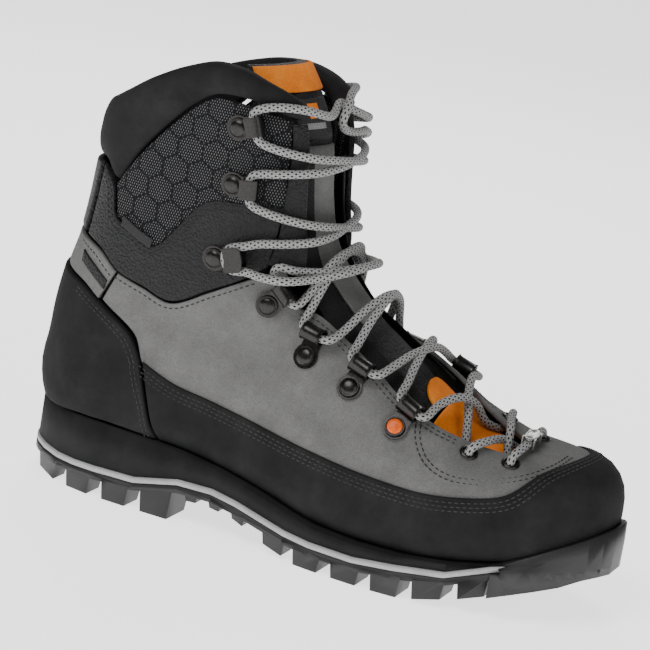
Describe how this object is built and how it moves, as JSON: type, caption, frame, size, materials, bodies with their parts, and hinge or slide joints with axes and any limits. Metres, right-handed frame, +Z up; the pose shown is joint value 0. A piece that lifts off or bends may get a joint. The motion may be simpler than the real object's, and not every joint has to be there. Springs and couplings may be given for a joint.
{
  "type": "hiking boot",
  "caption": "High laced hiking boot for a right foot: leather upper with a padded cuff, rubber rand, lugged sole, hooks and guides for a round lace.",
  "frame": {"origin": "on the ground under the middle of the sole's outline", "axes": "+X towards the toe, +Y towards the inner (medial) side of this right boot, +Z up"},
  "size_m": [0.3325, 0.124, 0.2411],
  "materials": {
    "tread_rubber": "moulded matt black rubber, worn at the lug edges",
    "stripe": "matt light grey rubber edge",
    "foam": "matt dark grey foamed polyurethane",
    "steel": "spring steel",
    "board": "pressed fibre board",
    "black_nubuck": "waxed black nubuck, fine grain",
    "grey_nubuck": "buffed grey nubuck, fine grain",
    "black_leather": "black grained leather",
    "black_textile": "abrasion-resistant woven textile",
    "lining": "knitted lining laminate",
    "stiff_plastic": "matt thermoplastic sheet",
    "orange_textile": "bright orange woven textile",
    "gunmetal": "dark nickel plating, satin",
    "lace_cord": "braided round polyester with black flecks",
    "silver_metal": "satin silver"
  },
  "bodies": {
    "boot": {"midsole": "foam", "shank": "steel", "midsole_stripe": "stripe", "outsole": "tread_rubber", "insole_board": "board", "rand": "black_nubuck", "heel_cap": "black_nubuck", "upper_leather": "grey_nubuck", "heel_band": "grey_nubuck", "flex_insert_lateral": "black_textile", "flex_insert_medial": "black_textile", "ankle_panel_lateral": "black_leather", "cuff_panel_lateral": "black_textile", "cuff_binding_lateral": "black_nubuck", "ankle_panel_medial": "black_leather", "cuff_panel_medial": "black_textile", "cuff_binding_medial": "black_nubuck", "collar": "black_nubuck", "achilles_strip": "black_nubuck", "lining": "lining", "heel_counter": "stiff_plastic", "toe_puff": "stiff_plastic", "ankle_padding_lateral": "foam", "ankle_padding_medial": "foam", "throat_panel": "orange_textile", "gusset_lateral": "black_textile", "gusset_medial": "black_textile", "side_tag": "black_textile", "grommet_lateral_1": "gunmetal", "grommet_lateral_2": "gunmetal", "grommet_medial_1": "gunmetal", "grommet_medial_2": "gunmetal", "guide_lateral_1": "gunmetal", "guide_lateral_2": "gunmetal", "guide_lateral_3": "gunmetal", "guide_lateral_4": "gunmetal", "lock_hook_lateral": "gunmetal", "hook_lateral_1": "gunmetal", "hook_lateral_2": "gunmetal", "guide_medial_1": "gunmetal", "guide_medial_2": "gunmetal", "guide_medial_3": "gunmetal", "guide_medial_4": "gunmetal", "lock_hook_medial": "gunmetal", "hook_medial_1": "gunmetal", "hook_medial_2": "gunmetal", "lace": "lace_cord", "lace_end_1": "lace_cord", "aglet_1": "stiff_plastic", "lace_end_2": "lace_cord", "aglet_2": "stiff_plastic", "lace_tag": "silver_metal"},
    "tongue": {"tongue": "black_nubuck", "tongue_strip": "grey_nubuck", "tongue_label": "black_textile", "tongue_tip": "orange_textile", "tongue_base_patch": "orange_textile"},
    "footbed": {"footbed": "foam"}
  },
  "joints": [
    {"name": "tongue_fold", "type": "hinge", "parent": "boot", "child": "tongue", "pos_m": [0.06407, 0.00443, 0.078], "axis": [0, -1, 0], "range_deg": [0, 8]},
    {"name": "footbed_lift", "type": "hinge", "parent": "boot", "child": "footbed", "pos_m": [0.13707, 0.00943, 0.036], "axis": [0, 1, 0], "range_deg": [0, 8]}
  ]
}
